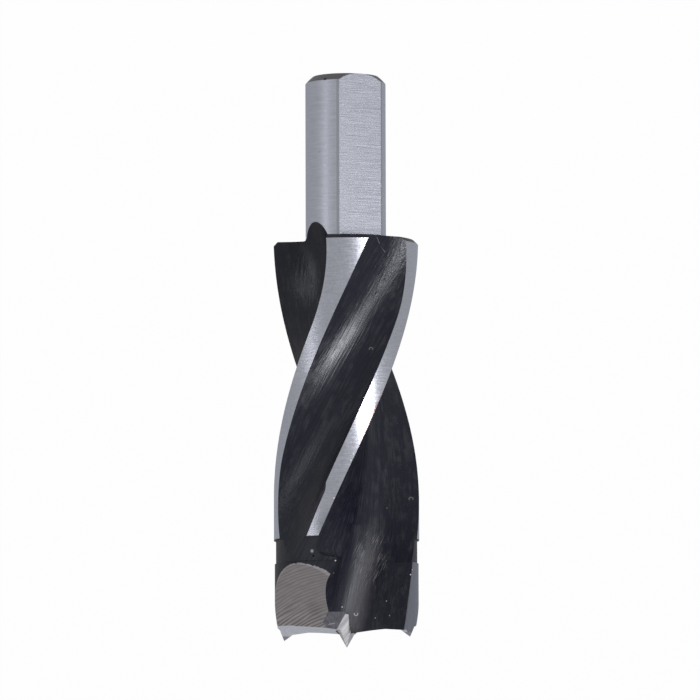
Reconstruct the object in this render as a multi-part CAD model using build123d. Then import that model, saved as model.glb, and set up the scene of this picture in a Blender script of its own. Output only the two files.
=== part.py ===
from build123d import *
import math
import os

# Blind hole drill bit: round steel body and brazed carbide head, tip upwards, shank end on z = 0.
# Millimetres and degrees. Angles run anticlockwise seen from the tip, which is the way of the cut.

# Shank
SHANK_RADIUS = 5.0
SHANK_CHAMFER = 0.88
CHAMFER_BULGE = 0.03
FLAT_FROM_AXIS = 4.09
FLAT_DIRECTION = -116.1

# Heights along the axis
SHOULDER_Z = 20.6
SHOULDER_FILLET = 0.25
TIP_Z = 71.15
HEAD_HEIGHT = 10.35
NECK_HEIGHT = 2.9
BRAZE_Z = TIP_Z - HEAD_HEIGHT
NECK_Z = BRAZE_Z - NECK_HEIGHT

# Spiral body
BODY_RADIUS = 9.0
BODY_CHAMFER = 0.5
NECK_STEP = 0.25
NECK_RADIUS = BODY_RADIUS - NECK_STEP
TWIST = 2.97
LANDS = 2

# Main flute: leading edge on the body circle at the braze line, and width in degrees
FLUTE_LEAD = 23.6
FLUTE_WIDTH = 97.8
FLUTE_WEB = 2.6
FLUTE_BOTTOM = 4.45
FLUTE_AHEAD = 0.0
FLUTE_FOOT = 4.2

# Run-out of the main flute: heights above the shoulder
WHEEL_RADIUS = 16.0
WHEEL_LEAVES = 6.2
RUNOUT_LEAD = 12.2
RUNOUT_LEAD_RATE = 0.145
RUNOUT_BOTTOM = 6.1
RUNOUT_DEEPEST = -0.2

# Run-out of the main flute under the head, on the heel side only: depths below the braze line
HEEL_CLOSES = 3.0
HEEL_CLOSES_BY = 24.0
HEEL_STATIONS = [3.2, 2.2, 1.4, 0.7, 0.0, -0.8]
HEEL_STRAIGHT = 4.4

# Black groove between the two ground ribs of each land
RIB_LEAD = 13.7
GROOVE_WIDTH = 55.5
GROOVE_RADIUS = 9.0
GROOVE_FOOT = 10.4
GROOVE_FOOT_RATE = 0.1786
GROOVE_TOP = 10.4
GROOVE_TOP_RATE = 0.230

# Gullet of the head: width and web at heights above the braze line
GULLET_TWIST = 1.65
GULLET_BOTTOM = 3.65
GULLET_AHEAD = 0.5
GULLET_HEELS = [(-4.8, 70.0), (-2.2, 71.0), (0.0, 78.0), (1.6, 79.5), (3.2, 88.0), (5.2, 97.5), (13.2, 128.0)]
GULLET_WEBS = [(-4.8, 2.6), (-2.8, 2.6), (1.2, 2.3), (5.7, 1.9), (7.4, 1.5), (9.2, 1.1), (12.2, 0.8)]
GULLET_FOOT = 4.8
GULLET_PAST_TIP = 1.05

# Outside relief and lips: places out along the lip and depths below the tip
RELIEF_OFFSET = 0.6
LIP_DIRECTION = -147.0
LIP_PROFILE = [(-0.6, 1.75), (1.2, 1.75), (4.3, 2.02), (6.0, 2.12), (8.0, 1.98), (10.0, 1.84)]
CORE_LIMIT = (-5.0, 5.15)
LIP_ROOM = 0.4
PRIMARY_SLOPE = 12.0

# Steep clearance behind the primary relief, hollow from a wheel that touches this point of each wing:
# along the lip, ahead of it and below the tip
CLEARANCE_WHEEL = 60.0
CLEARANCE_POINT = (3.18, -3.42, 3.84)
CLEARANCE_DIRECTION = -86.2
CLEARANCE_LEAN = 36.3
CLEARANCE_AXIS_DIRECTION = -47.1
CLEARANCE_AXIS_LEAN = -46.5

# Spurs at the corners of the wings
SPUR_DROP = 1.1
SPUR_BEHIND_RAKE = 0.95
SPUR_FRONT_SLOPE = 45.0
SPUR_BACK_SLOPE = 47.0
SPUR_INNER_SLOPE = 45.0
SPUR_FOOT = 2.0

# Centre point: direction from the lip and lean of each facet, repeated on the other side. Depths below the tip
POINT_FACETS = [(-2.1, 22.0), (45.3, 23.5), (114.9, 30.0)]
POINT_FOOT = 2.15
GASH_DIRECTION = 54.6
GASH_LEAN = 19.3
GASH_APEX = -1.18
GASH_FOOT = 4.35
GASH_END = 1.13
GASH_BEHIND = 0.55
GASH_SIDE_DIRECTION = -33.0
GASH_SIDE_LEAN = 29.7
GASH_SIDE_APEX = 8.25

# Cutters reach this far past what they cut
REACH = 5.0
GROOVE_REACH = 0.6
GROOVE_PAST_END = 0.9
OUTSIDE = BODY_RADIUS + REACH


def polar(radius, degrees, z=0.0):
    angle = math.radians(degrees)
    return Vector(radius * math.cos(angle), radius * math.sin(angle), z)


def over(value, start):
    return max(value - start, 0.0)


def stations(low, high, count):
    return [low + (high - low) * step / (count - 1) for step in range(count)]


def between(pairs, z):
    """Value at z on the straight lines through the pairs."""
    for (z0, a), (z1, b) in zip(pairs, pairs[1:]):
        if z <= z1:
            break
    return a + (b - a) * (z - z0) / (z1 - z0)


def both_sides(shape):
    return [Rot(0, 0, 360.0 / LANDS * i) * shape for i in range(LANDS)]


def touch(point, centre, radius, side):
    """Where the tangent from the point touches the circle."""
    line = centre - point
    half = math.degrees(math.asin(radius / line.length))
    reach = math.sqrt(line.length**2 - radius**2)
    return point + line.normalized().rotate(Axis.Z, side * half) * reach


def flute_section(z, lead, width, web, bottom, ahead):
    """Rake wall, round bottom and heel wall of a flute, closed outside the body."""
    along_rake = lead - math.degrees(math.asin(ahead / BODY_RADIUS))
    deepest = along_rake + math.degrees(math.asin((ahead + bottom) / (web + bottom)))
    centre = polar(web + bottom, deepest)
    edges = polar(BODY_RADIUS, lead), polar(BODY_RADIUS, lead + width)
    touches = [touch(edge, centre, bottom, side) for edge, side in zip(edges, (1, -1))]
    outer = [edge + (edge - foot).normalized() * REACH for edge, foot in zip(edges, touches)]
    outline = Wire([
        Edge.make_line(outer[0], touches[0]),
        Edge.make_three_point_arc(touches[0], polar(web, deepest), touches[1]),
        Edge.make_line(touches[1], outer[1]),
        Edge.make_three_point_arc(outer[1], polar(OUTSIDE + 1.0, lead + width / 2), outer[0]),
    ])
    return Pos(0, 0, z) * Face(outline)


def main_flute():
    sections = []
    straight = stations(SHOULDER_Z - FLUTE_FOOT, BRAZE_Z - HEEL_STRAIGHT, 21)
    for z in straight + [BRAZE_Z - depth for depth in HEEL_STATIONS]:
        above = z - SHOULDER_Z
        moved = RUNOUT_LEAD_RATE * over(RUNOUT_LEAD, above)**2
        lead = FLUTE_LEAD + TWIST * (z - BRAZE_Z) + moved
        closed = min(over(z, BRAZE_Z - HEEL_CLOSES) / HEEL_CLOSES, 1.0)
        rise = WHEEL_RADIUS - math.sqrt(WHEEL_RADIUS**2 - over(WHEEL_LEAVES, above)**2)
        share = min(over(RUNOUT_LEAD, above) / (RUNOUT_LEAD - RUNOUT_DEEPEST), 1.0)
        bottom = FLUTE_BOTTOM + (RUNOUT_BOTTOM - FLUTE_BOTTOM) * share**2
        width = FLUTE_WIDTH - moved - HEEL_CLOSES_BY * closed**4
        sections.append(flute_section(z, lead, width, FLUTE_WEB + rise, bottom, FLUTE_AHEAD))
    return loft(sections)


def head_gullet():
    sections = []
    for z in stations(BRAZE_Z - GULLET_FOOT, TIP_Z + GULLET_PAST_TIP, 19):
        lead = FLUTE_LEAD + GULLET_TWIST * (z - BRAZE_Z)
        width = between(GULLET_HEELS, z - BRAZE_Z) - math.degrees(math.asin(GULLET_AHEAD / BODY_RADIUS))
        web = between(GULLET_WEBS, z - BRAZE_Z)
        sections.append(flute_section(z, lead, width, web, GULLET_BOTTOM, GULLET_AHEAD))
    return loft(sections)


def rib_groove():
    """Shallow round groove along the middle of a land."""
    sections = []
    for z in stations(SHOULDER_Z - GROOVE_PAST_END, BRAZE_Z + GROOVE_PAST_END, 29):
        front = FLUTE_LEAD - RIB_LEAD + TWIST * (z - BRAZE_Z)
        back = front - GROOVE_WIDTH
        front -= GROOVE_TOP_RATE * over(z, NECK_Z - GROOVE_TOP)**2
        back += GROOVE_FOOT_RATE * over(SHOULDER_Z + GROOVE_FOOT, z)**2
        middle = (front + back) / 2
        half = math.radians((front - back) / 2)
        flat = BODY_RADIUS * math.sin(half)
        centre = BODY_RADIUS * math.cos(half) + math.sqrt(GROOVE_RADIUS**2 - flat**2)
        rim = BODY_RADIUS + GROOVE_REACH
        opening = (rim**2 + centre**2 - GROOVE_RADIUS**2) / (2 * rim * centre)
        reach = math.degrees(math.acos(opening))
        ends = polar(rim, middle - reach), polar(rim, middle + reach)
        outline = Wire([
            Edge.make_three_point_arc(ends[0], polar(centre - GROOVE_RADIUS, middle), ends[1]),
            Edge.make_three_point_arc(ends[1], polar(OUTSIDE, middle), ends[0]),
        ])
        sections.append(Pos(0, 0, z) * Face(outline))
    return loft(sections)


def leaning(direction, lean):
    """Unit vector that leans up from level by this angle."""
    return polar(math.cos(math.radians(lean)), direction, math.sin(math.radians(lean)))


def beyond(point, direction, lean):
    """Block outside a flat whose outward normal leans up from level."""
    block = Box(4 * OUTSIDE, 4 * OUTSIDE, 2 * OUTSIDE, align=(Align.CENTER, Align.CENTER, Align.MIN))
    return Plane(origin=point, z_dir=leaning(direction, lean)) * block


def wing_frame():
    """Turns x along the lip and y ahead of it into place for one wing."""
    return Rot(0, 0, LIP_DIRECTION)


def upright(points):
    """Face in the plane across the cut from points given along the lip and in height."""
    return Face(Wire.make_polygon([Vector(x, 0, z) for x, z in points]))


def wing_top():
    """Everything under one lip and its primary relief, sloping down behind the lip."""
    slope = math.tan(math.radians(PRIMARY_SLOPE))
    foot = BRAZE_Z - REACH
    top = [(x, TIP_Z - depth) for x, depth in [CORE_LIMIT] + LIP_PROFILE]
    outline = [(top[0][0], foot)] + top + [(top[-1][0], foot)]
    face = Pos(0, GULLET_AHEAD + LIP_ROOM, slope * LIP_ROOM) * upright(outline)
    return wing_frame() * extrude(face, amount=4 * REACH, dir=(0, -1, -slope))


def spur():
    """Pointed corner with its three ground slopes."""
    apex = GULLET_AHEAD - SPUR_BEHIND_RAKE
    peak = TIP_Z - SPUR_DROP
    base = peak - SPUR_FOOT
    front = apex + SPUR_FOOT / math.tan(math.radians(SPUR_FRONT_SLOPE))
    back = apex - SPUR_FOOT / math.tan(math.radians(SPUR_BACK_SLOPE))
    corner = math.sqrt(BODY_RADIUS**2 - apex**2)
    inner = corner - SPUR_FOOT / math.tan(math.radians(SPUR_INNER_SLOPE))
    side = Face(Wire.make_polygon([
        Vector(inner, front, base), Vector(inner, apex, peak), Vector(inner, back, base),
    ]))
    ridge = extrude(side, amount=REACH, dir=(1, 0, 0))
    across = upright([(inner, base), (corner, peak), (OUTSIDE, peak), (OUTSIDE, base)])
    slab = Pos(0, REACH, 0) * extrude(across, amount=2 * REACH, dir=(0, -1, 0))
    return wing_frame() * (ridge & slab)


def clearance():
    """Hollow clearance that a grinding wheel leaves behind one wing."""
    outward = leaning(LIP_DIRECTION + CLEARANCE_DIRECTION, CLEARANCE_LEAN)
    axle = leaning(LIP_DIRECTION + CLEARANCE_AXIS_DIRECTION, CLEARANCE_AXIS_LEAN)
    along, ahead, depth = CLEARANCE_POINT
    touched = (wing_frame() * Pos(along, ahead, TIP_Z - depth)).position
    centre = touched + outward * CLEARANCE_WHEEL
    return Plane(origin=centre, z_dir=axle) * Cylinder(CLEARANCE_WHEEL, CLEARANCE_WHEEL)


def point_gash():
    """The two flats ground beside the centre point ahead of one lip."""
    direction, lean = POINT_FACETS[1]
    facet = beyond((0, 0, TIP_Z), LIP_DIRECTION + direction, lean)
    gash = beyond((0, 0, TIP_Z - GASH_APEX), LIP_DIRECTION + GASH_DIRECTION, GASH_LEAN)
    block = Box(2 * OUTSIDE, 2 * OUTSIDE, 2 * OUTSIDE, align=(Align.MAX, Align.MIN, Align.MIN))
    ahead = wing_frame() * Pos(GASH_END, GULLET_AHEAD - GASH_BEHIND, TIP_Z - GASH_FOOT) * block
    inside = beyond((0, 0, TIP_Z - GASH_SIDE_APEX), LIP_DIRECTION + GASH_SIDE_DIRECTION, GASH_SIDE_LEAN)
    return (facet + gash) & ahead & inside


def centre_point():
    """Pyramid of flats that all meet in the tip."""
    height = POINT_FOOT
    flats = [(LIP_DIRECTION + direction + side, height * math.tan(math.radians(lean)))
             for side in (0.0, 180.0) for direction, lean in POINT_FACETS]
    corners = []
    for (a, reach_a), (b, reach_b) in zip(flats, flats[1:] + flats[:1]):
        turn = math.radians(b - a)
        sideways = (reach_b - reach_a * math.cos(turn)) / math.sin(turn)
        corners.append(polar(reach_a, a, TIP_Z - POINT_FOOT) + polar(sideways, a + 90.0))
    foot = Face(Wire.make_polygon(corners))
    return loft([foot, Vertex(0, 0, TIP_Z)], ruled=True)


def edge_arc(start, end, bulge):
    """Shallow arc between two points of the profile, bulging to the right of the way."""
    start, end = Vector(*start), Vector(*end)
    along = end - start
    middle = (start + end) * 0.5 + Vector(along.Z, 0, -along.X).normalized() * bulge
    return Edge.make_three_point_arc(start, middle, end)


def steel_body():
    chamfer = (SHANK_RADIUS - SHANK_CHAMFER, 0, 0), (SHANK_RADIUS, 0, SHANK_CHAMFER)
    corner = (SHANK_RADIUS, 0, SHOULDER_Z - SHOULDER_FILLET), (SHANK_RADIUS + SHOULDER_FILLET, 0, SHOULDER_Z)
    outside = [
        corner[1],
        (BODY_RADIUS - BODY_CHAMFER, 0, SHOULDER_Z),
        (BODY_RADIUS, 0, SHOULDER_Z + BODY_CHAMFER),
        (BODY_RADIUS, 0, NECK_Z),
        (NECK_RADIUS, 0, NECK_Z),
        (NECK_RADIUS, 0, BRAZE_Z),
        (0, 0, BRAZE_Z),
        (0, 0, 0),
        chamfer[0],
    ]
    hollow = SHOULDER_FILLET * (1 - math.sqrt(0.5))
    profile = Wire([
        edge_arc(*chamfer, CHAMFER_BULGE),
        Edge.make_line(chamfer[1], corner[0]),
        edge_arc(*corner, -hollow),
    ] + [Edge.make_line(start, end) for start, end in zip(outside, outside[1:])])
    body = revolve(Face(profile), Axis.Z)
    flat = Box(2 * REACH, 4 * REACH, SHOULDER_Z, align=(Align.MIN, Align.CENTER, Align.MIN))
    body -= Rot(0, 0, FLAT_DIRECTION) * Pos(FLAT_FROM_AXIS, 0, 0) * flat
    for cutter in (main_flute(), rib_groove(), head_gullet()):
        for copy in both_sides(cutter):
            body -= copy
    return body


def carbide_head():
    lead = FLUTE_LEAD + GULLET_TWIST * HEAD_HEIGHT / 2
    align = (Align.CENTER, Align.CENTER, Align.MIN)
    relieved = Cylinder(BODY_RADIUS - RELIEF_OFFSET, HEAD_HEIGHT, align=align)
    rounds = both_sides(Pos(*polar(RELIEF_OFFSET, lead, BRAZE_Z)) * relieved)
    blank = rounds[0] + rounds[1]
    tops = both_sides(wing_top())
    head = blank & (tops[0] + tops[1])
    for copy in both_sides(spur()):
        head += copy & blank
    for cutter in (head_gullet(), clearance(), point_gash()):
        for copy in both_sides(cutter):
            head -= copy
    return head + centre_point()


NODES = {
    "steel_body": steel_body,
    "carbide_head": carbide_head,
}

for name, make in NODES.items():
    shape = make()
    print(name, "solids", len(shape.solids()), "volume", round(shape.volume, 1), shape.bounding_box())
    export_step(shape, f"parts/{name}.step")
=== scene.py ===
"""Blind hole drill bit: finishes for its steel body and carbide head, and the studio they stand in."""

import math

import bmesh
import bpy
from bpy.props import FloatProperty, FloatVectorProperty, PointerProperty
from bpy.types import Operator, Panel, PropertyGroup
from mathutils import Matrix, Vector


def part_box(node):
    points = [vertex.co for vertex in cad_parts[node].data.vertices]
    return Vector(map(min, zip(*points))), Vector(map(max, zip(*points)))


bl_info = {
    "name": "Blind hole drill bit",
    "version": (1, 0, 0),
    "blender": (4, 5, 0),
    "location": "3D View > Sidebar > Drill bit",
    "description": "Finishes and studio for a carbide tipped blind hole drill bit",
    "category": "Object",
}

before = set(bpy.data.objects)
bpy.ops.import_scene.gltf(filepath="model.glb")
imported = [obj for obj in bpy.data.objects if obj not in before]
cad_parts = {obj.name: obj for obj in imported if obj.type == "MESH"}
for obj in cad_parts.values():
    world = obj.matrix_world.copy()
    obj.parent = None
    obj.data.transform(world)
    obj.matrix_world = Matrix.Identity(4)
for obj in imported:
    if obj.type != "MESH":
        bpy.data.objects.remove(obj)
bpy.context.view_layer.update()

MM = 0.001

# Places on the bit, in millimetres and degrees, tip upwards
SHANK_RADIUS = 5.0
SHANK_CHAMFER = 0.88
FLAT_FROM_AXIS = 4.09
FLAT_DIRECTION = -116.1
SHOULDER_Z = 20.6
SHOULDER_FILLET = 0.25
BODY_RADIUS = 9.0
NECK_HEIGHT = 2.9
TIP_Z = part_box("carbide_head")[1].z / MM
BRAZE_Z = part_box("carbide_head")[0].z / MM
NECK_Z = BRAZE_Z - NECK_HEIGHT

# Spiral: leading edge of the flute at the braze line, and heel edges behind it
TWIST = 2.97
FLUTE_LEAD = 23.6
HEEL_BEHIND = 82.2

# Ground rib along each heel edge: its width above a height, the reach of the steel there, and its tint
HEEL_RIB_WIDTH = 2.75
HEEL_RIB_FROM = 46.0
HEEL_RIB_REACH = 3.4
TINTED_HEIGHTS = (40.5, 46.5)
TINT_WIDTH = 0.28
TINT_SHARE = 0.8

# How far that rib narrows, and how far painted shade darkens it towards the head, each round a height and
# over a length
HEEL_RIB_NARROWED = 1.1
HEEL_RIB_NARROWS = (50.9, 3.4)
HEEL_RIB_PAINTED_SHADE = 0.3
HEEL_RIB_SHADE_STARTS = (55.2, 3.0)

# Head, seen along one lip: x runs out along it, y points ahead of it
LIP_DIRECTION = -147.0
WING_MIDDLE = -60.0
PRIMARY_SLOPE = 12.0
RELIEF_OFFSET = 0.6
CLEARANCE_WHEEL = 60.0
CLEARANCE_POINT = (3.18, -3.42, TIP_Z - 3.84)
CLEARANCE_DIRECTION = -86.2
CLEARANCE_LEAN = 36.3
CLEARANCE_AXIS_DIRECTION = -47.1
CLEARANCE_AXIS_LEAN = -46.5
CHIPPED_FROM_RADIUS = 8.2
CHIPPED_BELOW = 63.2
POINT_FACETS = [(-2.1, 22.0), (45.3, 23.5), (114.9, 30.0)]
POINT_RADIUS = 2.6
GASH_DIRECTION = 54.6
GASH_LEAN = 19.3
SPUR_FROM_RADIUS = 6.6
SPUR_FROM_Z = 68.3
SPUR_END_FROM_RADIUS = 6.9
SPUR_END_FROM_Z = 69.5

# Marks that use has left: places, sizes, and the share of bare metal in each mark
SPECK_SIZE = 0.075
SPECK_SHARE = 0.55
SPECKS = [
    (-5.02, -0.29, 53.85),
    (0.55, -2.23, 66.23),
    (-4.9, -3.2, 65.57),
    (-5.27, -3.79, 67.39),
    (-3.52, -2.76, 67.64),
]
SCRATCH_WIDTH = 0.05
SCRATCH_SHARE = 0.45
BODY_SCRATCHES = [
    ((-3.85, -7.34, 20.87), (-4.16, -6.82, 21.62)),
    ((-4.30, -6.70, 21.90), (-4.84, -6.10, 22.59)),
]
GASH_SCRATCH = ((2.26, -1.49, 68.35), (1.52, -1.51, 68.19))

# Round dents: place, size, and the open side, 1 towards the tip and -1 towards the shank
RING_SHARE = 0.6
RING_MARKS = [
    ((-3.07, -7.01, 34.72), 0.22, 1),
    ((-8.0, 0.05, 52.72), 0.26, 1),
    ((-1.14, -1.72, 67.04), 0.24, -1),
]

# Chipped edges, with white dots painted on them as highlights
GLINT_HIGHLIGHT_SIZE = 0.085
GLINT_HIGHLIGHT_SHARE = 0.7
GLINT_HIGHLIGHTS = [
    (-0.88, -8.95, 47.85),
    (-0.57, -8.98, 48.59),
    (1.52, -8.86, 53.25),
    (1.36, -8.51, 60.92),
    (1.58, -6.52, 62.31),
    (-7.88, -3.89, 62.36),
    (-8.12, -3.87, 61.75),
]

# Nick and line on the shank, painted highlight and painted shadow of a burr on the neck, and dark patch on
# one clearance
SHANK_NICK = (2.53, -4.18, 0.75)
SHANK_NICK_SIZE = 0.2
SHANK_NICK_SHARE = 0.85
SHANK_LINE = ((3.30, -3.76, 9.82), (0.94, -4.91, 10.10))
SHANK_LINE_WIDTH = 0.07
SHANK_LINE_SHARE = 0.3
BURR_HIGHLIGHT = (4.24, -7.64, 59.67)
BURR_HIGHLIGHT_SIZE = 0.16
BURR_HIGHLIGHT_SHARE = 0.6
BURR_SHADOW = (4.07, -7.73, 60.28)
BURR_SHADOW_SIZE = 0.14
CLEARANCE_PATCH = (3.79, -2.37, 66.60)
CLEARANCE_PATCH_SIZE = 1.1

# Where chips are cleared: the way that they rub, also painted as a broad highlight down the flute, and a
# place with fine scratches that lean up from level
RUBBED_HIGHLIGHT_WAY = ((-3.3, -1.3, 57.3), (-0.9, -1.8, 68.4))
RUBBED_HIGHLIGHT_WIDTH = 0.9
SCORED_MIDDLE = (-3.1, -1.75, 60.1)
SCORED_REACH = 2.0
SCORED_LEAN = 64.8

# Where the rubbing and the highlight painted with it start, and where the black turns dull, each round a
# height and over a length
RUBBED_HIGHLIGHT_STARTS = (59.0, 5.0)
BLACK_DULLS = (56.5, 5.0)

# Share of bare metal where the black is streaked, scored and rubbed; the rubbed share also paints a highlight
# down the flute
STREAKED_SHARE = 0.08
SCORED_SHARE = 0.3
RUBBED_HIGHLIGHT_SHARE = 0.18

# Grinding marks: across the flats of the centre point, and how far those of the clearance bow
ACROSS_POINT_MARKS = (-0.42, 0.74, 0.52)
MARK_BOW = 0.012

# Both metals: edge of a sharp finish, strength and tint of the gloss, and the unit of relief in metres
SHARP = 0.02
GLOSS = 0.5
GLOSS_TINT = (0.92, 0.94, 1.0, 1.0)
RELIEF_UNIT = 0.02 * MM
WHITE = (1.0, 1.0, 1.0)
# Near-black of the painted shadow in the burr's hollow
SHADOW_BLACK = (0.01, 0.01, 0.01)


def unit(direction, lean=0.0):
    """Unit vector at this direction round the axis that leans up from level."""
    level = math.cos(math.radians(lean))
    angle = math.radians(direction)
    return Vector((level * math.cos(angle), level * math.sin(angle), math.sin(math.radians(lean))))


def colour_property(name, description, default):
    return FloatVectorProperty(
        name=name, description=description, default=default, size=3, min=0.0, max=1.0, subtype="COLOR")


def length_property(name, description, default):
    return FloatProperty(
        name=name, description=description, default=default, min=0.0, unit="LENGTH", precision=5)


def share_property(name, description, default):
    return FloatProperty(
        name=name, description=description, default=default, min=0.0, max=1.0, subtype="FACTOR")


def degrees_property(name, description, default):
    return FloatProperty(name=name, description=f"{description}, in degrees", default=default)


def power_property(name, description, default):
    return FloatProperty(name=name, description=description, default=default, min=0.0, unit="POWER")


class BitBlackFinish(PropertyGroup):
    """Black finish that the steel and the carbide share."""

    colour: colour_property("Black", "Colour of the black finish", (0.0038, 0.0044, 0.0120))
    wear_and_sheen: colour_property("Worn", "Metal that shows where the black is rubbed thin", (0.34, 0.33, 0.34))
    roughness: share_property("Roughness", "Roughness of the black finish", 0.31)
    streaks: share_property("Streaks", "How far the brushing shows", 0.55)
    streak_twist: degrees_property("Streak twist", "Turn of the brushing over a millimetre", 4.5)


class BitBodyFinish(PropertyGroup):
    """Bright finishes of the steel body."""

    ground: colour_property("Ground ribs", "Ground outside of the ribs", (0.66, 0.68, 0.77))
    ground_roughness: share_property("Ground roughness", "Roughness of the ground ribs", 0.25)
    shank: colour_property("Shank", "Ground steel of the shank", (0.67, 0.69, 0.79))
    shank_roughness: share_property("Shank roughness", "Roughness of the shank", 0.34)
    dull: colour_property("Dull steel", "Chamfer and edges that were not ground", (0.10, 0.085, 0.075))
    tint: colour_property("Edge tint", "Brown tint along the heel edges", (0.20, 0.09, 0.05))
    rib_radius: length_property("Rib radius", "Steel outside this radius is ground bright", 8.965 * MM)


class BitHeadFinish(PropertyGroup):
    """Ground finishes of the carbide head."""

    clearance: colour_property("Clearance", "Coarsely ground face behind each lip", (0.40, 0.37, 0.375))
    flank: colour_property("Lip flank", "Finely ground flank under each lip", (0.90, 0.91, 1.0))
    margin: colour_property("Margin", "Ground outside strip behind each corner", (0.31, 0.32, 0.38))
    spur: colour_property("Spur", "Ends of the two spurs", (0.46, 0.45, 0.52))
    point: colour_property("Point", "Ground flats of the centre point", (0.70, 0.70, 0.73))
    # Flats beside the centre point: ground carbide like the point's, darkened with painted shade
    gash_shade: colour_property("Gash", "Flats ground beside the centre point", (0.165, 0.165, 0.19))
    roughness: share_property("Roughness", "Roughness of the ground carbide", 0.38)
    margin_angle: degrees_property("Margin angle", "Width of the outside strip", 37.0)
    mark_spacing: length_property("Mark spacing", "Distance between the marks of the clearance", 0.41 * MM)
    mark_turn: degrees_property("Mark turn", "Turn of those marks in the face", -20.0)


class BitStudio(PropertyGroup):
    """Floor, light and camera."""

    floor: colour_property("Floor", "Colour of the floor", (0.85, 0.85, 0.85))
    floor_size: length_property("Floor size", "Radius of the round floor", 4.0)
    key_power: power_property("Main light", "Power of the main light", 3.3)
    fill_power: power_property("Second light", "Power of the second light", 0.32)
    room: share_property("Room", "Brightness of the light from all round", 0.42)
    reflected: share_property("Reflected", "How much of the white background shows in reflections", 0.40)
    lens: FloatProperty(name="Lens", description="Focal length of the camera in millimetres", default=348.17)


class Value:
    """A number that varies over a surface, joined to others with plain arithmetic."""

    def __init__(self, paint, socket):
        self.paint = paint
        self.socket = socket

    def __add__(self, other):
        return self.paint.math("ADD", self, other)

    def __radd__(self, other):
        return self.paint.math("ADD", other, self)

    def __sub__(self, other):
        return self.paint.math("SUBTRACT", self, other)

    def __rsub__(self, other):
        return self.paint.math("SUBTRACT", other, self)

    def __mul__(self, other):
        return self.paint.math("MULTIPLY", self, other)

    def __rmul__(self, other):
        return self.paint.math("MULTIPLY", other, self)

    def __pow__(self, other):
        return self.paint.math("POWER", self, other)

    def __abs__(self):
        return self.paint.math("ABSOLUTE", self)


class Tree:
    """The nodes of a material or of the world."""

    def __init__(self, tree):
        self.tree = tree

    def node(self, kind, settings, *values, **named):
        """A node of this kind with its settings, then its sockets in order or by name."""
        made = self.tree.nodes.new(kind)
        for setting, value in settings.items():
            setattr(made, setting, value)
        sockets = dict(enumerate(values))
        sockets.update({name.replace("_", " "): value for name, value in named.items()})
        for key, value in sockets.items():
            self.put(made.inputs[key], value)
        return made

    def put(self, socket, value):
        """Links a varying value to the socket, or sets a constant on it."""
        if isinstance(value, Value):
            self.tree.links.new(value.socket, socket)
        elif value is not None:
            plain = socket.type == "RGBA" and len(value) == 3
            socket.default_value = (*value, 1.0) if plain else value

    def value(self, kind, settings, *values, output=0, **named):
        return Value(self, self.node(kind, settings, *values, **named).outputs[output])

    def math(self, operation, *values):
        return self.value("ShaderNodeMath", {"operation": operation}, *values)

    def vector(self, operation, *values):
        """Vector that this operation makes of vectors."""
        return self.value("ShaderNodeVectorMath", {"operation": operation}, *values)

    def measure(self, operation, *values):
        """Number that this operation makes of vectors."""
        return self.value("ShaderNodeVectorMath", {"operation": operation}, *values, output="Value")

    def either(self, *masks):
        """1 where any of the masks is."""
        widest = masks[0]
        for mask in masks[1:]:
            widest = self.math("MAXIMUM", widest, mask)
        return widest

    def above(self, value, edge, softness):
        """0 below the edge, 1 above it, smooth over the softness."""
        low = edge - softness / 2
        high = edge + softness / 2
        return self.value(
            "ShaderNodeMapRange", {"interpolation_type": "SMOOTHSTEP"}, value, low, high, 0.0, 1.0)

    def below(self, value, edge, softness):
        return 1.0 - self.above(value, edge, softness)

    def within(self, value, low, high, softness):
        return self.above(value, low, softness) * self.below(value, high, softness)

    def join(self, x, y, z):
        return self.value("ShaderNodeCombineXYZ", {}, x, y, z)

    def split(self, vector):
        made = self.node("ShaderNodeSeparateXYZ", {}, vector)
        return [Value(self, made.outputs[axis]) for axis in range(3)]

    def turned(self, vector, angle):
        """The vector turned round the axis by this angle in radians."""
        return self.value("ShaderNodeVectorRotate", {"rotation_type": "Z_AXIS"}, vector, Angle=angle)

    def stretched(self, vector, x, y, z):
        return self.vector("MULTIPLY", vector, (x, y, z))

    def scaled(self, vector, factor):
        """The vector, or the colour, times a varying factor."""
        return self.value("ShaderNodeVectorMath", {"operation": "SCALE"}, vector, Scale=factor)

    def along(self, vector, direction):
        return self.measure("DOT_PRODUCT", vector, tuple(direction))

    def noise(self, vector, scale, detail, roughness=0.5):
        """Noise from 0 to 1 with this many cells to the unit."""
        return self.value(
            "ShaderNodeTexNoise", {"noise_dimensions": "3D"}, vector,
            Scale=scale, Detail=detail, Roughness=roughness)

    def mix(self, share, a, b):
        """Colour a where the share is 0 and b where it is 1."""
        made = self.node("ShaderNodeMix", {"data_type": "RGBA", "blend_type": "MIX", "clamp_factor": True})
        for key, value in ((0, share), (6, a), (7, b)):
            self.put(made.inputs[key], value)
        return Value(self, made.outputs[2])


class Paint(Tree):
    """One material."""

    def __init__(self, name, **constants):
        self.material = bpy.data.materials.new(name)
        self.material.use_nodes = True
        super().__init__(self.material.node_tree)
        self.shader = self.tree.nodes["Principled BSDF"]
        for socket, value in constants.items():
            self.shader.inputs[socket.replace("_", " ")].default_value = value

    def finish(self, look):
        """Links what varies. Relief is in units of RELIEF_UNIT."""
        self.put(self.shader.inputs["Base Color"], look.colour)
        self.put(self.shader.inputs["Roughness"], look.roughness)
        self.put(self.shader.inputs["Metallic"], look.metal)
        bump = self.value("ShaderNodeBump", {}, Strength=1.0, Distance=RELIEF_UNIT, Height=look.relief)
        self.put(self.shader.inputs["Normal"], bump)
        return self.material


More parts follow.
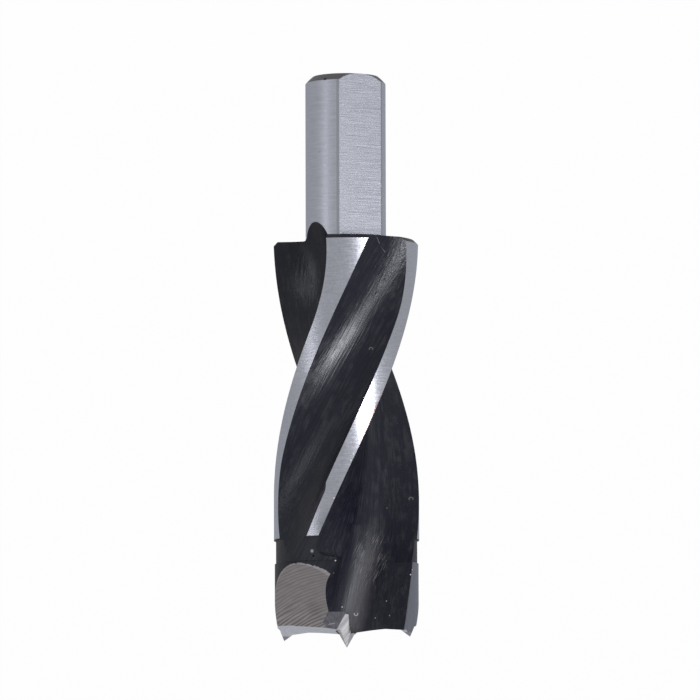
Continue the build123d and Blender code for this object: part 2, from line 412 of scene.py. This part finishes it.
class Look:
    """Colour, roughness, metal share and relief of one finish."""

    def __init__(self, paint, colour, roughness, metal, relief):
        self.paint = paint
        self.colour = colour
        self.roughness = roughness
        self.metal = metal
        self.relief = relief

    def under(self, mask, other):
        """This look with another over it where the mask is 1."""
        def blend(a, b):
            return a * (1.0 - mask) + b * mask
        colour = self.paint.mix(mask, self.colour, other.colour)
        roughness = blend(self.roughness, other.roughness)
        metal = blend(self.metal, other.metal)
        relief = blend(self.relief, other.relief)
        return Look(self.paint, colour, roughness, metal, relief)


class Surface(Paint):
    """A paint for metal, with places on the bit in millimetres."""

    def __init__(self, name):
        super().__init__(name, Specular_IOR_Level=GLOSS, Specular_Tint=GLOSS_TINT)
        here = Value(self, self.node("ShaderNodeTexCoord", {}).outputs["Object"])
        self.place = self.vector("MULTIPLY", here, (1 / MM, 1 / MM, 1 / MM))
        self.x, self.y, self.z = self.split(self.place)
        self.radius = (self.x * self.x + self.y * self.y) ** 0.5
        self.facing = Value(self, self.node("ShaderNodeNewGeometry", {}).outputs["True Normal"])
        self.grain = self.noise(self.place, 5.0, 2.0, 0.6)
        self.clouds = self.noise(self.place, 0.6, 3.0, 0.55)

    def distance(self, point):
        return self.measure("DISTANCE", self.place, point)

    def dot(self, point, size):
        return self.below(self.distance(point), size, size * 0.8)

    def ring(self, point, size, opening):
        """Small round dent: a ring that is open towards the tip (1) or the shank (-1)."""
        closed = self.below(self.z * opening, point[2] * opening + size * 0.35, 0.1)
        return self.within(self.distance(point), size * 0.72, size * 1.12, 0.08) * closed

    def scratch(self, start, end, width, softness=1.0):
        """Line between two points. Its edges fade over its width times the softness."""
        way = Vector(end) - Vector(start)
        from_start = self.vector("SUBTRACT", self.place, start)
        share = self.along(from_start, way / way.length_squared)
        share = self.value("ShaderNodeClamp", {}, share)
        off = self.measure("DISTANCE", from_start, self.scaled(tuple(way), share))
        return self.below(off, width, width * softness)

    def wear_and_sheen(self, look, metal, scratches):
        """The look with dents, specks and scratches in the colour of bare metal, and white dots painted as
        highlights on chipped edges.
        """
        marks = [self.ring(*ring) * RING_SHARE for ring in RING_MARKS]
        marks += [self.dot(speck, SPECK_SIZE) * SPECK_SHARE for speck in SPECKS]
        marks += [self.scratch(start, end, SCRATCH_WIDTH) * SCRATCH_SHARE for start, end in scratches]
        marked = self.either(*marks)
        # Painted highlights: white dots on the chipped edges, with no metal share
        glint_spots = [self.dot(glint_place, GLINT_HIGHLIGHT_SIZE) for glint_place in GLINT_HIGHLIGHTS]
        glint_highlight = self.either(*glint_spots) * GLINT_HIGHLIGHT_SHARE
        look.colour = self.mix(marked, look.colour, metal)
        look.colour = self.mix(glint_highlight, look.colour, WHITE)
        look.metal = self.either(look.metal, marked) * (1.0 - glint_highlight)
        return look

    def scored(self):
        """Fine scratches that cross the flute where chips are cleared from it."""
        way = unit(0.0, SCORED_LEAN)
        over = self.along(self.place, way.cross(Vector((0.0, 1.0, 0.0))).normalized())
        lines = self.noise(self.join(over * 7.5, self.along(self.place, way) * 0.5, 0.0), 1.0, 2.0)
        from_middle = self.stretched(self.vector("SUBTRACT", self.place, SCORED_MIDDLE), 1.0, 1.0, 0.6)
        near = self.below(self.measure("LENGTH", from_middle), SCORED_REACH, 1.6)
        return self.above(lines, 0.585, 0.10) * near

    def black(self, props):
        """Brushed black: streaks along the spiral, cloudy patches, and metal where it is rubbed thin, partly
        a highlight painted down the flute.
        """
        spiral = self.turned(self.place, self.z * -math.radians(props.streak_twist))
        fine = self.noise(self.stretched(spiral, 2.8, 2.8, 0.13), 1.0, 2.0, 0.7)
        broad = self.noise(self.stretched(spiral, 1.2, 1.2, 0.10), 1.0, 2.0)
        streaked = self.above(fine + (broad - 0.5) * 0.8, 0.52, 0.26) * self.above(self.clouds, 0.5, 0.3)
        scored = self.scored()
        # Band rubbed by the chips down the flute: partly wear, partly a painted highlight
        chips = self.scratch(*RUBBED_HIGHLIGHT_WAY, RUBBED_HIGHLIGHT_WIDTH, 2.0) * self.above(self.z, *RUBBED_HIGHLIGHT_STARTS)
        dulled = self.above(self.z, *BLACK_DULLS)

        bare = streaked * (STREAKED_SHARE * props.streaks) + scored * SCORED_SHARE + chips * RUBBED_HIGHLIGHT_SHARE
        colour = self.scaled(self.mix(bare, props.colour, props.wear_and_sheen), 0.75 + fine * 0.5)
        roughness = props.roughness + (fine - 0.5) * (0.5 * props.streaks) + (self.clouds - 0.5) * 0.2
        roughness = roughness + dulled * 0.15 + chips * 0.12
        relief = (fine - 0.5) * (4.0 * props.streaks) + (self.grain - 0.5) * 0.4 + scored * 1.5
        return Look(self, colour, roughness, bare, relief)

    def bright(self, colour, roughness, marks, grain=0.12, relief=0.45):
        """Ground metal whose marks run from 0 to 1."""
        colour = self.scaled(tuple(colour), 0.84 - grain / 2 + marks * 0.32 + self.grain * grain)
        return Look(self, colour, roughness + (marks - 0.5) * 0.16, 1.0, (marks - 0.5) * relief)


def give(node, material):
    """Puts the material on every slot of a CAD node."""
    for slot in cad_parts[node].material_slots:
        slot.material = material


class BIT_OT_steel_body(Operator):
    """Black spiral with bright ground ribs, and the ground shank"""

    bl_idname = "bit.steel_body"
    bl_label = "Steel body"

    # How much painted shade darkens the flat against the round, and how dull the chamfer is
    FLAT_PAINTED_SHADE = 0.40
    CHAMFER_DULL = 0.78

    def on_ribs(self, s, props, from_heel):
        """1 on the ground outside of the ribs, with ragged edges. Heel ribs get narrower towards the head."""
        ragged = s.radius + (s.noise(s.place, 1.3, 3.0) - 0.5) * 0.05
        heights = s.within(s.z, SHOULDER_Z + 0.12, NECK_Z - 0.1, 0.1)
        outward = s.vector("NORMALIZE", s.join(s.x, s.y, 0.0))
        faces_out = s.above(s.measure("DOT_PRODUCT", s.facing, outward), 0.985, 0.01)
        outside = s.above(ragged, props.rib_radius / MM, 0.03) * heights * faces_out
        width = HEEL_RIB_WIDTH - s.above(s.z, *HEEL_RIB_NARROWS) * HEEL_RIB_NARROWED
        past_width = s.above(from_heel - width, 0.0, 0.08) * s.below(from_heel, HEEL_RIB_REACH, 0.1)
        return outside * (1.0 - past_width * s.above(s.z, HEEL_RIB_FROM, 1.0))

    def ribs(self, s, props, from_heel):
        """Ground ribs: fine marks round the body, and mottling. Heel ribs are tinted and darken towards the
        head with painted shade.
        """
        rings = s.noise(s.stretched(s.place, 0.7, 0.7, 6.0), 1.0, 3.0, 0.6)
        mottle = s.noise(s.place, 3.0, 4.0, 0.7)
        marks = (rings - 0.5) * 1.0 + (mottle - 0.5) * 0.9 + 0.5
        look = s.bright(props.ground, props.ground_roughness, marks, 0.2, relief=0.25)
        tinted = s.below(from_heel, TINT_WIDTH, 0.4) * s.within(s.z, *TINTED_HEIGHTS, 3.0)
        look.colour = s.mix(tinted * s.above(mottle, 0.42, 0.2) * TINT_SHARE, look.colour, props.tint)
        # Painted shade: the heel rib's colour darkens towards the head
        rib_shade = s.above(s.z, *HEEL_RIB_SHADE_STARTS) * s.below(from_heel, HEEL_RIB_REACH, 0.1)
        look.colour = s.scaled(look.colour, 1.0 - rib_shade * HEEL_RIB_PAINTED_SHADE)
        return look

    def on_shank(self, s, on_flat):
        """1 on the shank, up to the fillet at the shoulder."""
        on_round = s.above(s.radius, SHANK_RADIUS - 0.06, SHARP)
        on_end = s.below(s.z, SHANK_CHAMFER, SHARP)
        return s.either(on_flat, on_round, on_end) * s.below(s.z, SHOULDER_Z - SHOULDER_FILLET, SHARP)

    def shank(self, s, props, on_flat, to_flat):
        """Ground shank: faint rings on the round, straight marks across the flat, painted shade over the
        flat, a dull chamfer, and a darker strip along the flat's edges.
        """
        across = s.noise(s.stretched(s.place, 0.22, 0.22, 7.0), 1.0, 4.0, 0.7)
        around = s.noise(s.stretched(s.place, 0.45, 0.45, 4.5), 1.0, 3.0, 0.6)
        marks = around * (1.0 - on_flat) + across * on_flat
        look = s.bright(props.shank, props.shank_roughness, marks, relief=0.7)
        # Painted shade: the flat's colour darkened against the round
        look.colour = s.scaled(look.colour, 1.0 - on_flat * self.FLAT_PAINTED_SHADE)
        chamfer = s.below(s.z, SHANK_CHAMFER - 0.04, 0.05) * (1.0 - on_flat)
        # A darker strip on the round along each edge of the flat
        beside = s.within(to_flat, FLAT_FROM_AXIS - 0.22, FLAT_FROM_AXIS - 0.05, 0.06)
        line = s.scratch(*SHANK_LINE, SHANK_LINE_WIDTH)
        dull = s.either(
            chamfer * self.CHAMFER_DULL, beside * (0.05 + around * 0.4), line * SHANK_LINE_SHARE)
        look.colour = s.mix(dull, look.colour, props.dull)
        look.colour = s.scaled(look.colour, 1.0 - s.dot(SHANK_NICK, SHANK_NICK_SIZE) * SHANK_NICK_SHARE)
        return look

    def burr(self, s, look, metal):
        """The look with the burr on the neck: a bright dab painted as its highlight, and a dark dab beside it
        painted as the shadow in its hollow.
        """
        # Painted highlight and painted shadow of the burr
        highlight_spot = s.below(s.distance(BURR_HIGHLIGHT), BURR_HIGHLIGHT_SIZE, BURR_HIGHLIGHT_SIZE * 2.0) * BURR_HIGHLIGHT_SHARE
        shadow_spot = s.dot(BURR_SHADOW, BURR_SHADOW_SIZE)
        look.colour = s.mix(highlight_spot, look.colour, metal)
        look.colour = s.mix(shadow_spot, look.colour, SHADOW_BLACK)
        look.metal = s.either(look.metal, highlight_spot, shadow_spot)
        return look

    def execute(self, context):
        props = context.scene.bit_body
        black = context.scene.bit_black
        s = Surface("steel_body")

        spiral = s.turned(s.place, s.z * -math.radians(TWIST))
        heel = FLUTE_LEAD - TWIST * BRAZE_Z - HEEL_BEHIND
        from_heel = abs(s.along(spiral, unit(heel + 90.0)))
        to_flat = s.along(s.place, unit(FLAT_DIRECTION))
        on_flat = s.above(to_flat, FLAT_FROM_AXIS - 0.03, SHARP)

        look = s.black(black)
        look = look.under(self.on_ribs(s, props, from_heel), self.ribs(s, props, from_heel))
        look = look.under(self.on_shank(s, on_flat), self.shank(s, props, on_flat, to_flat))
        look = self.burr(s, look, props.ground)
        look = s.wear_and_sheen(look, black.wear_and_sheen, BODY_SCRATCHES)
        give("steel_body", s.finish(look))
        return {"FINISHED"}


class BIT_OT_carbide_head(Operator):
    """Black carbide with its ground flanks, clearances, margins and centre point"""

    bl_idname = "bit.carbide_head"
    bl_label = "Carbide head"

    # Clearance: the way that it faces, the wheel's axle, and how strongly its chips and the highlight painted
    # along its outer edge show
    OUTWARD = unit(CLEARANCE_DIRECTION, CLEARANCE_LEAN)
    AXLE = unit(CLEARANCE_AXIS_DIRECTION, CLEARANCE_AXIS_LEAN)
    CHIPS_SHARE = 0.6
    RIM_HIGHLIGHT_SHARE = 0.3

    def as_one_wing(self, s):
        """Place and facing with both wings read as one: x out along the lip, y ahead of it."""
        sign = s.math("SIGN", s.along(s.place, unit(LIP_DIRECTION + WING_MIDDLE)))
        half_turn = s.join(sign, sign, 1.0)
        turn = -math.radians(LIP_DIRECTION)
        return [s.turned(s.vector("MULTIPLY", vector, half_turn), turn) for vector in (s.place, s.facing)]

    def on_flank(self, s, faces):
        """1 on the flank under each lip."""
        slope = math.radians(PRIMARY_SLOPE)
        return s.above(s.along(faces, (0, -math.sin(slope), math.cos(slope))), 0.985, 0.01)

    def on_clearance(self, s, wing, faces):
        """1 where the wheel cut, and less on the chips along that cut's edge towards the shank."""
        centre = Vector(CLEARANCE_POINT) + self.OUTWARD * CLEARANCE_WHEEL
        across_axle = s.vector("CROSS_PRODUCT", s.vector("SUBTRACT", wing, tuple(centre)), tuple(self.AXLE))
        depth = abs(s.measure("LENGTH", across_axle) - CLEARANCE_WHEEL)
        face = s.below(depth, 0.05, SHARP) * s.above(s.along(faces, self.OUTWARD), 0.9, 0.05)
        ragged = depth - (s.noise(s.place, 3.2, 3.0, 0.6) - 0.42) * 0.3
        near_edge = s.above(s.radius, CHIPPED_FROM_RADIUS, 0.2) * s.below(s.z, CHIPPED_BELOW, 0.6)
        return s.either(face, s.below(ragged, 0.05, 0.03) * near_edge * self.CHIPS_SHARE)

    def on_margin(self, s, props, wing):
        """1 on the outside strip behind each corner."""
        along, ahead = s.split(wing)[:2]
        behind = s.math("ARCTAN2", ahead, along)
        outside = s.above(s.radius, BODY_RADIUS - 0.12, 0.04)
        return outside * s.above(behind, -math.radians(props.margin_angle), 0.03)

    def on_spurs(self, s):
        """1 on the sides of the spurs that look up."""
        upward = s.above(s.along(s.facing, (0, 0, 1)), 0.45, 0.1)
        return s.above(s.radius, SPUR_FROM_RADIUS, 0.1) * s.above(s.z, SPUR_FROM_Z, 0.1) * upward

    def on_spur_ends(self, s):
        return s.above(s.radius, SPUR_END_FROM_RADIUS, 0.3) * s.above(s.z, SPUR_END_FROM_Z, 0.2)

    def on_facet(self, s, faces, direction, lean):
        """1 on the flats that face this way, on either side of the axis."""
        sides = [s.along(faces, unit(direction + turn, lean)) for turn in (0.0, 180.0)]
        return s.above(s.either(*sides), 0.995, 0.002)

    def on_point(self, s, faces):
        """1 on the flats of the centre point."""
        facets = [self.on_facet(s, faces, *facet) for facet in POINT_FACETS]
        return s.either(*facets) * s.below(s.radius, POINT_RADIUS, 0.1)

    def clearance(self, s, props, wing):
        """Face with coarse wheel marks that waver, bow and fade across it, a dark patch, and a highlight
        painted along its outer edge.
        """
        level = self.OUTWARD.cross(Vector((0, 0, 1))).normalized()
        rise = self.OUTWARD.cross(level).normalized()
        turn = math.radians(props.mark_turn)
        on_face = s.vector("SUBTRACT", wing, CLEARANCE_POINT)
        over = s.along(on_face, rise * math.cos(turn) + level * math.sin(turn))
        along = s.along(on_face, level * math.cos(turn) - rise * math.sin(turn))
        over = over + along * along * MARK_BOW

        waver = s.noise(s.join(over * 0.9, along * 0.12, 0.0), 1.0, 2.0, 0.6)
        lines = s.math("SINE", over * (2.0 * math.pi * MM / props.mark_spacing) + waver * 12.0)
        fine = s.noise(s.join(over * 7.0, along * 0.4, 0.0), 1.0, 2.0, 0.6)
        faded = s.above(over + along * 0.6 + (waver - 0.5) * 4.0, 0.3, 6.0)
        patch = s.below(s.distance(CLEARANCE_PATCH), CLEARANCE_PATCH_SIZE, 1.4)
        marks = lines * (1.15 - faded * 0.75) + (fine - 0.5) * 1.4 + (s.clouds - 0.5) * 0.6
        look = s.bright(props.clearance, props.roughness, marks + 0.6 - patch * 0.45)

        # Painted highlight: a lighter line along the clearance's outer edge, in the colour of the lip flank
        from_relief_axis = s.measure("DISTANCE", s.stretched(wing, 1.0, 1.0, 0.0), (RELIEF_OFFSET, 0.0, 0.0))
        rim_highlight = s.above(from_relief_axis, BODY_RADIUS - RELIEF_OFFSET - 0.05, 0.05)
        look.colour = s.mix(rim_highlight * self.RIM_HIGHLIGHT_SHARE, look.colour, props.flank)
        return look

    def execute(self, context):
        props = context.scene.bit_head
        s = Surface("carbide_head")
        wing, faces = self.as_one_wing(s)
        brushed = s.noise(s.stretched(wing, 5.0, 5.0, 0.5), 1.0, 3.0, 0.6) * 1.8 - 0.4
        point_marks = s.join(s.along(wing, ACROSS_POINT_MARKS) * 7.0, s.z * 0.3, 0.0)
        point_marks = s.noise(point_marks, 1.0, 2.0, 0.6) * 2.4 - 0.7

        def ground(colour, marks=brushed):
            return s.bright(colour, props.roughness, marks)

        look = s.black(context.scene.bit_black)
        look = look.under(self.on_margin(s, props, wing), ground(props.margin))
        look = look.under(self.on_clearance(s, wing, faces), self.clearance(s, props, wing))
        look = look.under(s.either(self.on_flank(s, faces), self.on_spurs(s)), ground(props.flank))
        look = look.under(self.on_spur_ends(s), ground(props.spur))
        # Flats beside the centre point, in the point's ground carbide darkened with painted shade
        look = look.under(self.on_facet(s, faces, GASH_DIRECTION, GASH_LEAN), ground(props.gash_shade))
        look = look.under(self.on_point(s, faces), ground(props.point, point_marks))
        look = s.wear_and_sheen(look, props.point, [GASH_SCRATCH])
        give("carbide_head", s.finish(look))
        return {"FINISHED"}


class BIT_OT_studio(Operator):
    """White floor and surround, soft lights and the camera"""

    bl_idname = "bit.studio"
    bl_label = "Studio"

    # Camera that looks at the bit from a little above, turned over so that the tip points down
    EYE = Vector((-0.4845, -836.91, 116.94)) * MM
    TARGET = Vector((-0.4845, 0.0, 34.14)) * MM
    LEAN = math.radians(0.149)
    SENSOR_WIDTH = 36.0
    CLIP_START = 0.01

    # Soft boxes, in metres, and in degrees from the camera towards the right of its picture
    LAMP_DISTANCE = 0.7
    LAMP_HEIGHT = 0.14
    LAMP_WIDTH = 0.20
    LAMP_TALL = 0.26
    MAIN_AZIMUTH = 32.0
    SECOND_AZIMUTH = -58.0

    # Floor: its edges, its plain surface, and the share of it that glows where the white is seen
    FLOOR_SEGMENTS = 96
    FLOOR_ROUGHNESS = 0.9
    FLOOR_GLOSS = 0.1
    FLOOR_GLOW = 0.98

    def seen(self, paint, props):
        """What sees the white background: 1 for any such ray, and how bright it is for that ray."""
        rays = paint.node("ShaderNodeLightPath", {})
        names = ("Is Camera Ray", "Is Glossy Ray", "Is Transmission Ray")
        camera, glossy, through = [Value(paint, rays.outputs[name]) for name in names]
        return paint.either(camera, glossy, through), paint.either(camera, glossy * props.reflected, through)

    def show(self, paint, share, first, second, output):
        """Links the first shader where the share is 0, and the second where it is 1, to the output."""
        mixed = paint.node("ShaderNodeMixShader", {}, share)
        paint.tree.links.new(first.outputs[0], mixed.inputs[1])
        paint.tree.links.new(second.outputs[0], mixed.inputs[2])
        paint.tree.links.new(mixed.outputs[0], output.inputs["Surface"])

    def floor(self, props):
        """Round floor that keeps a trace of the bit's shadow."""
        mesh = bpy.data.meshes.new("floor")
        shape = bmesh.new()
        bmesh.ops.create_circle(shape, cap_ends=True, segments=self.FLOOR_SEGMENTS, radius=props.floor_size)
        shape.to_mesh(mesh)
        shape.free()
        floor = bpy.data.objects.new("floor", mesh)
        bpy.context.scene.collection.objects.link(floor)
        paint = Paint(
            "floor", Base_Color=(*props.floor, 1.0), Roughness=self.FLOOR_ROUGHNESS,
            Specular_IOR_Level=self.FLOOR_GLOSS)
        seen, brightness = self.seen(paint, props)
        glow = paint.node("ShaderNodeEmission", {}, Color=WHITE, Strength=brightness)
        output = paint.tree.nodes["Material Output"]
        self.show(paint, seen * self.FLOOR_GLOW, paint.shader, glow, output)
        mesh.materials.append(paint.material)

    def surround(self, props):
        """World that is white where it is seen and lights the bit from all round."""
        world = bpy.data.worlds.new("surround")
        bpy.context.scene.world = world
        world.use_nodes = True
        world.node_tree.nodes.clear()
        paint = Tree(world.node_tree)
        seen, brightness = self.seen(paint, props)
        white = paint.node("ShaderNodeBackground", {}, Color=WHITE, Strength=brightness)
        room = paint.node("ShaderNodeBackground", {}, Color=WHITE, Strength=props.room)
        output = paint.node("ShaderNodeOutputWorld", {})
        self.show(paint, seen, room, white, output)

    def lamp(self, name, power, azimuth):
        """Soft box at an azimuth from the camera, towards its right in the picture."""
        light = bpy.data.lights.new(name, "AREA")
        light.shape = "RECTANGLE"
        light.size = self.LAMP_WIDTH
        light.size_y = self.LAMP_TALL
        light.energy = power
        lamp = bpy.data.objects.new(name, light)
        middle = Vector((0.0, 0.0, self.LAMP_HEIGHT))
        lamp.location = middle + unit(-90.0 - azimuth) * self.LAMP_DISTANCE
        lamp.rotation_euler = (middle - lamp.location).to_track_quat("-Z", "Y").to_euler()
        bpy.context.scene.collection.objects.link(lamp)

    def camera(self, props):
        forward = (self.TARGET - self.EYE).normalized()
        level = Vector((-1.0, 0.0, 0.0))
        down = forward.cross(level)
        right = level * math.cos(self.LEAN) + down * math.sin(self.LEAN)
        up = right.cross(forward)
        turn = Matrix((right, up, -forward)).transposed()
        data = bpy.data.cameras.new("camera")
        data.lens = props.lens
        data.sensor_width = self.SENSOR_WIDTH
        data.clip_start = self.CLIP_START
        camera = bpy.data.objects.new("camera", data)
        camera.matrix_world = Matrix.Translation(self.EYE) @ turn.to_4x4()
        bpy.context.scene.collection.objects.link(camera)
        bpy.context.scene.camera = camera

    def execute(self, context):
        props = context.scene.bit_studio
        self.floor(props)
        self.surround(props)
        self.lamp("main_light", props.key_power, self.MAIN_AZIMUTH)
        self.lamp("second_light", props.fill_power, self.SECOND_AZIMUTH)
        self.camera(props)
        context.scene.view_settings.view_transform = "Standard"
        return {"FINISHED"}


class BIT_PT_panel(Panel):
    """The bit's operators and settings"""

    bl_idname = "BIT_PT_panel"
    bl_label = "Drill bit"
    bl_space_type = "VIEW_3D"
    bl_region_type = "UI"
    bl_category = "Drill bit"

    def draw(self, context):
        for operator, settings in PIECES:
            box = self.layout.box()
            box.operator(operator.bl_idname)
            for setting in settings:
                group = getattr(context.scene, setting)
                for name in group.__annotations__:
                    box.prop(group, name)


GROUPS = {
    "bit_black": BitBlackFinish,
    "bit_body": BitBodyFinish,
    "bit_head": BitHeadFinish,
    "bit_studio": BitStudio,
}

# Operators in the order they run, each with the settings that the panel lists under it
PIECES = [
    (BIT_OT_steel_body, ["bit_black", "bit_body"]),
    (BIT_OT_carbide_head, ["bit_head"]),
    (BIT_OT_studio, ["bit_studio"]),
]


def register():
    for group in GROUPS.values():
        bpy.utils.register_class(group)
    for operator, settings in PIECES:
        bpy.utils.register_class(operator)
    bpy.utils.register_class(BIT_PT_panel)
    for name, group in GROUPS.items():
        setattr(bpy.types.Scene, name, PointerProperty(type=group))


def unregister():
    for name in GROUPS:
        delattr(bpy.types.Scene, name)
    bpy.utils.unregister_class(BIT_PT_panel)
    for operator, settings in PIECES:
        bpy.utils.unregister_class(operator)
    for group in GROUPS.values():
        bpy.utils.unregister_class(group)


def main():
    register()
    bpy.ops.bit.steel_body()
    bpy.ops.bit.carbide_head()
    bpy.ops.bit.studio()
    bpy.context.view_layer.update()


if __name__ == "__main__":
    main()
